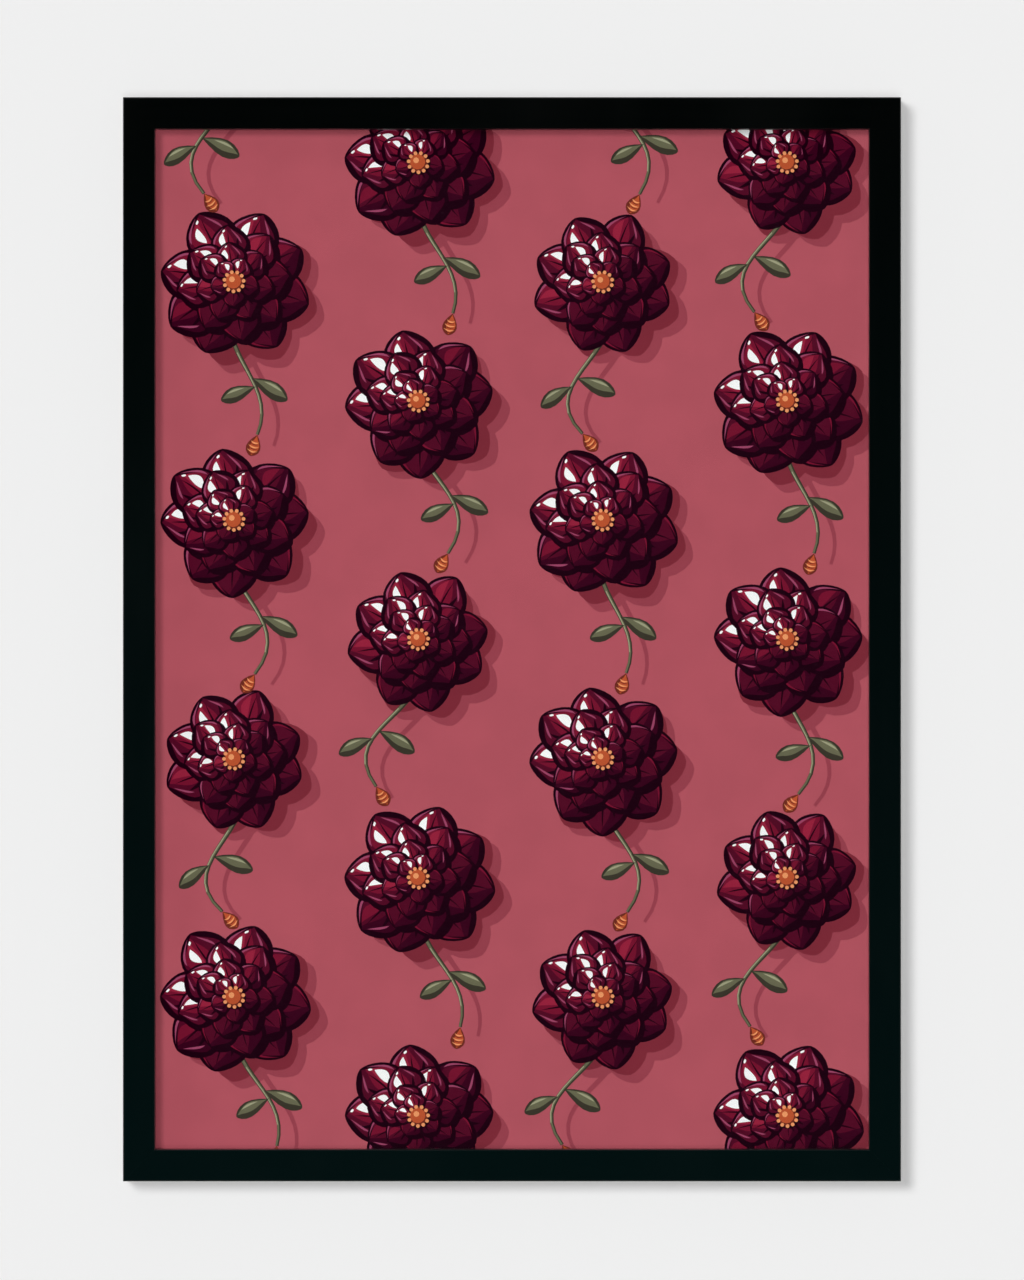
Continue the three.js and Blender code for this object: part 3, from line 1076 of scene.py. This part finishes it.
def printed_sheet(material):
    """The sheet as one closed solid, its front divided along the borders of the inks."""
    low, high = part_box("print")
    centre = (low + high) / 2
    size = high - low
    corners, triangles, inks = flat_print(size.x / 2 / MM, size.z / 2 / MM)

    def lay(shape):
        ink_layer = shape.loops.layers.float_color.new("ink")
        front = [shape.verts.new((centre.x + x * MM, low.y, centre.z + y * MM)) for x, y in corners]
        for triangle, ink_name in zip(triangles, inks):
            face = shape.faces.new([front[k] for k in triangle])
            paint_faces([face], ink_layer, INKS[ink_name])
        loose = [vertex for vertex in shape.verts if not vertex.link_faces]
        bmesh.ops.delete(shape, geom=loose, context="VERTS")
        close_behind(shape, high.y, ink_layer)

    piece = mesh_object("printed_sheet", [], [])
    edit(piece.data, lay)
    dress(piece, material, ["print"])


# ---- Fixings behind the print ----

POINT_TIP, POINT_ROUNDING = 2 * MM, 3 * MM
RIB_START, RIB_FADE = 5.2 * MM, 1.0 * MM
RIB_HALF = 0.24  # of the point's half width


def point_half_width(up, length, half):
    """How far a point's plate reaches to each side, this far up from its tip to its round end."""
    left = length - up
    if left < POINT_ROUNDING:
        reach = max(POINT_ROUNDING**2 - (POINT_ROUNDING - left) ** 2, 0)
        return half - POINT_ROUNDING + math.sqrt(reach)
    return half * clamped(up / POINT_TIP, 0.02)


def steel_point(name):
    """One bendable point, its tip at the origin and its round end up +Z, stiffened by a pressed rib."""
    low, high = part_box("point_rail_bottom_1")
    half, thick, length = (high.x - low.x) / 2, high.y - low.y, high.z - low.z
    plate, rib_height = 0.45 * thick, 0.5 * thick
    across = [-1.0, -0.6, *(RIB_HALF * k / 4 for k in range(-4, 5)), 0.6, 1.0]
    steps = 36
    rings = []
    for k in range(steps + 1):
        up = length * k / steps
        wide = point_half_width(up, length, half)
        rib = clamped(min(up - RIB_START, length - up - POINT_ROUNDING) / RIB_FADE)
        front = []
        for share in across:
            swell = math.cos(math.pi / 2 * min(abs(share) / RIB_HALF, 1)) ** 2
            front.append((share * wide, rib_height * rib * swell, up))
        rings.append(front + [(x, y + plate, z) for x, y, z in front[::-1]])
    return lofted(name, rings)


def steel_points(material):
    """All the points round the rebate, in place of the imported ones."""
    names = sorted(name for name in frame["nodes"] if name.startswith("point_"))
    low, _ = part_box("point_rail_bottom_1")
    stile_low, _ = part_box("point_stile_left_1")
    rail_places = [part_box(f"point_rail_bottom_{k}")[0].x for k in (1, 2)]
    stile_places = [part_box(f"point_stile_left_{k}")[0].z for k in (1, 2, 3)]
    pattern = steel_point("point pattern")
    shade_by_angle(pattern, 35)
    piece = grow("steel_points", round_the_rebate_tree(), {
        "Fixing": pattern,
        "Half Width": -stile_low.x,
        "Half Height": CENTRE_Z - low.z,
        "Centre": (0.0, low.y, CENTRE_Z),
        "On Rails": len(rail_places),
        "Rail Spread": max(rail_places) - min(rail_places),
        "On Stiles": len(stile_places),
        "Stile Spread": max(stile_places) - min(stile_places),
        "Material": material,
    })
    bpy.data.objects.remove(pattern)
    dress(piece, material, names)


def hanger(material):
    """The sawtooth strip, its stamped edges eased."""
    piece = welded_copy("sawtooth_hanger", "hanger")
    eased = piece.modifiers.new("arris", "BEVEL")
    eased.width = 0.12 * MM
    eased.segments = 2
    eased.limit_method = "ANGLE"
    eased.angle_limit = math.radians(30)
    eased.harden_normals = True
    shade_by_angle(piece, 40)
    flat_faces_first(piece)
    dress(piece, material, ["hanger"])


def cross_recess(centre, top, long, wide, deep):
    """A cross to cut a screw's head with. Its arms are longer towards the wall."""
    rings = []
    for y, share in ((top + deep, 1.35), (top - deep, 0.62)):
        arm = [(share * long / 2, -wide / 2), (share * long / 2, wide / 2), (wide / 2, wide / 2)]
        ring = []
        for _ in range(4):
            ring += [(centre.x + x, y, centre.z + z) for x, z in arm]
            arm = [(-z, x) for x, z in arm]
        rings.append(ring)
    return lofted("cross recess", rings)


def screw(node_name, material):
    """A pan-head screw: a domed head with a cross recess on a pointed shank."""
    low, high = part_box(node_name)
    centre = (low + high) / 2
    head = (high.x - low.x) / 2
    shank, dome, eased = 1.2 * MM, 0.75 * MM, 0.12 * MM
    under = high.y - 1.2 * MM
    profile = [
        (0, low.y), (0.35 * shank, low.y + 0.9 * MM), (shank, low.y + 2.6 * MM), (shank, under - 0.15 * MM),
        (shank + 0.15 * MM, under), (head - eased, under), (head, under + eased),
        *arc((head - dome, high.y - dome), dome, 0, 90, 6), (0.55 * head, high.y - 0.01 * MM), (0, high.y),
    ]
    piece = turned(f"pan_{node_name}", centre, profile, 40)
    recess = cross_recess(centre, high.y, long=3.0 * MM, wide=0.62 * MM, deep=0.62 * MM)
    cutting = piece.modifiers.new("recess", "BOOLEAN")
    cutting.object = recess
    cutting.operation = "DIFFERENCE"
    cutting.solver = "EXACT"
    apply_modifiers(piece)
    bpy.data.objects.remove(recess)
    shade_by_angle(piece, 38)
    dress(piece, material, [node_name])


def bumper(node_name, material):
    """A soft round foot with a flared skirt and a flat face towards the wall."""
    low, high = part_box(node_name)
    centre = (low + high) / 2
    base = (high.x - low.x) / 2
    tall = high.y - low.y
    face, shoulder = 2.2 * MM, 0.55 * MM
    profile = [
        (0, low.y), (base - 0.1 * MM, low.y), (base, low.y + 0.1 * MM), (base, low.y + 0.30 * MM),
        (base - 0.12 * MM, low.y + 0.45 * MM), (0.86 * base, low.y + 0.30 * tall),
        (0.80 * base, low.y + 0.5 * tall), *arc((face - shoulder, high.y - shoulder), shoulder, 15, 90, 6),
        (0.5 * face, high.y), (0, high.y),
    ]
    piece = turned(f"round_{node_name}", centre, profile, 48)
    shade_by_angle(piece, 50)
    dress(piece, material, [node_name])


def paint_node(node_name, material):
    """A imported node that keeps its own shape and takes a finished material."""
    mesh = frame["nodes"][node_name].data
    mesh.materials.clear()
    mesh.materials.append(material)


# ---- Stage, light and camera ----

VIEW_HEIGHT = 514.2 * MM  # what the picture's height takes in at the frame's face
AIM_BELOW_CENTRE = 0.3 * MM
LENS, SENSOR = 350.0, 36.0  # in mm
FLOOR_Z = -1.4
REACH, STAGE_TOP = 12.0, 4.0
PALE = 0.865  # the grey of the backdrop, the wall and the floor
FILL, REAR_FILL = 0.07, 0.40  # the even light before the wall and behind it


def grey(value):
    return (value, value, value, 1)


def stage_wall_paint():
    """Plain matt paint that vanishes from behind.

    Over the frame's own outline it also lets through what starts on the first thing seen, so that
    the frame's back is lit and mirrors the room when the camera looks at it through the wall."""
    material, tree, shader = new_material("matt pale wall")
    feed(shader, {"Base Color": grey(PALE), "Roughness": 1.0, "Specular IOR Level": 0.0})
    path = add(tree, "ShaderNodeLightPath")
    x, _, z = split(object_place(tree))
    beside = maths("ABSOLUTE", x) - HALF_X
    above = maths("ABSOLUTE", z - CENTRE_Z) - HALF_Z
    behind_frame = maths("MAXIMUM", beside, above) < 1.5 * MM
    unseen = maths("SUBTRACT", 1.0, path["Is Camera Ray"])
    passing = (path["Ray Depth"] < 1.5) * unseen * behind_frame
    from_behind = add(tree, "ShaderNodeNewGeometry")["Backfacing"]
    let_through(maths("MAXIMUM", from_behind, passing))
    return material


def stage_floor_paint():
    """As pale as the backdrop wherever it is seen, so that the two run together."""
    material, _, shader = new_material("plain pale floor")
    feed(shader, {
        "Base Color": BLACK,
        "Roughness": 1.0,
        "Specular IOR Level": 0.0,
        "Emission Color": grey(PALE),
        "Emission Strength": 1.0,
    })
    material.cycles.emission_sampling = "NONE"
    return material


def stage_plane(name, corners, material):
    plane = mesh_object(name, corners, [(0, 1, 2, 3)])
    plane.data.materials.append(material)
    return plane


def build_stage():
    wall_y = CAD_HIGH.y
    upright = ((-REACH, FLOOR_Z), (REACH, FLOOR_Z), (REACH, STAGE_TOP), (-REACH, STAGE_TOP))
    stage_plane("wall", [(x, wall_y, z) for x, z in upright], stage_wall_paint())
    level = ((-REACH, -REACH), (REACH, -REACH), (REACH, REACH), (-REACH, REACH))
    floor = stage_plane("floor", [(x, y, FLOOR_Z) for x, y in level], stage_floor_paint())
    for rays in ("diffuse", "glossy", "transmission", "shadow"):
        setattr(floor, f"visible_{rays}", False)


def sun(name, towards_light, strength, degrees, diffuse=True, glossy=False):
    """A distant lamp. towards_light points from the frame to it."""
    lamp = bpy.data.lights.new(name, "SUN")
    lamp.energy = strength
    lamp.angle = math.radians(degrees)
    holder = new_object(name, lamp)
    holder.rotation_euler = Vector(towards_light).to_track_quat("Z", "Y").to_euler()
    holder.visible_diffuse = diffuse
    holder.visible_glossy = glossy
    holder.visible_transmission = False  # the glass already lets it through as it does shadow rays


def build_world():
    """A pale backdrop to the camera and a soft even fill, stronger behind the wall.

    Before the wall a mirror sees a dark horizon, for the glass, and behind it a bright studio."""
    world = bpy.data.worlds.new("studio")
    bpy.context.scene.world = world
    world.use_nodes = True
    tree = world.node_tree
    tree.nodes.clear()
    path = add(tree, "ShaderNodeLightPath")
    sideways, rearward, up = split(add(tree, "ShaderNodeTexCoord")["Generated"])
    behind = ramp(rearward, -0.05, 0.2)
    fore = blend(ramp(up, 0.5, 0.85), (0.003, 0.005, 0.005, 1), (0.50, 0.51, 0.52, 1))
    fore = blend(ramp(up, -0.12, -0.45), fore, (0.08, 0.09, 0.09, 1))
    fore = blend(ramp(maths("ABSOLUTE", sideways), 0.72, 0.95), fore, grey(0.40))
    aft = blend(ramp(up, 0.05, 0.4), grey(0.20), (1.30, 1.29, 1.27, 1))
    aft = blend(ramp(up, 0.0, -0.4), aft, (0.52, 0.51, 0.50, 1))
    even = blend(behind, grey(FILL), grey(REAR_FILL))
    light = blend(path["Is Glossy Ray"], even, blend(behind, fore, aft))
    light = blend(path["Is Transmission Ray"], light, BLACK)
    light = blend(path["Is Camera Ray"], light, grey(PALE))
    background = add(tree, "ShaderNodeBackground", {"Color": light, "Strength": 1.0})
    feed(tree.nodes.new("ShaderNodeOutputWorld"), {"Surface": background})


def build_lights():
    sun("copy light", (0.0, -1.0, 0.0), 1.14, 3)
    sun("window key", (-0.25, -1.0, 0.187), 1.35, 13)
    sun("light off the table", (0.0, -1.0, -0.12), 0.50, 10)
    sun("window sheen", (-1.6, -1.0, 1.2), 0.45, 16, diffuse=False, glossy=True)
    sun("ceiling", (0.0, 0.0, 1.0), 1.3, 2)
    sun("behind the wall", (-0.5, 1.0, 0.7), 2.3, 20, glossy=True)


def build_camera():
    camera = bpy.data.cameras.new("camera")
    camera.sensor_width = SENSOR
    camera.lens = LENS
    camera.clip_start = 0.1
    camera.clip_end = 100
    holder = new_object("camera", camera)
    distance = VIEW_HEIGHT * LENS / SENSOR
    holder.location = (0, FRONT_Y - distance, CENTRE_Z - AIM_BELOW_CENTRE)
    holder.rotation_euler = (math.pi / 2, 0, 0)
    bpy.context.scene.camera = holder


# ---- The whole ----

def build_print():
    lacquer = lacquered_wood()
    for name in LENGTHS:
        moulding_length(name, lacquer)
    paint_node("glass", clear_glass())
    printed_sheet(printed_paper())
    paint_node("backing_board", pressed_hardboard())

    steel_points(bare_steel("rolled steel", (0.66, 0.65, 0.63, 1), (0.40, 0.39, 0.37, 1), 0.20, 0.45))
    nail_steel = bare_steel("stamped steel", (0.50, 0.49, 0.48, 1), (0.28, 0.27, 0.26, 1), 0.28, 1.0, 0.7)
    for name in sorted(name for name in frame["nodes"] if name.startswith("corner_nail")):
        paint_node(name, nail_steel)
    hanger(zinc_plate("zinc plate", 0.24))
    screw_plate = zinc_plate("bright zinc", 0.16)
    rubber = moulded_rubber()
    for side in ("left", "right"):
        screw(f"hanger_screw_{side}", screw_plate)
        bumper(f"bumper_{side}", rubber)


bpy.context.scene.view_settings.view_transform = "Standard"
build_camera()
build_world()
build_lights()
build_stage()
build_print()
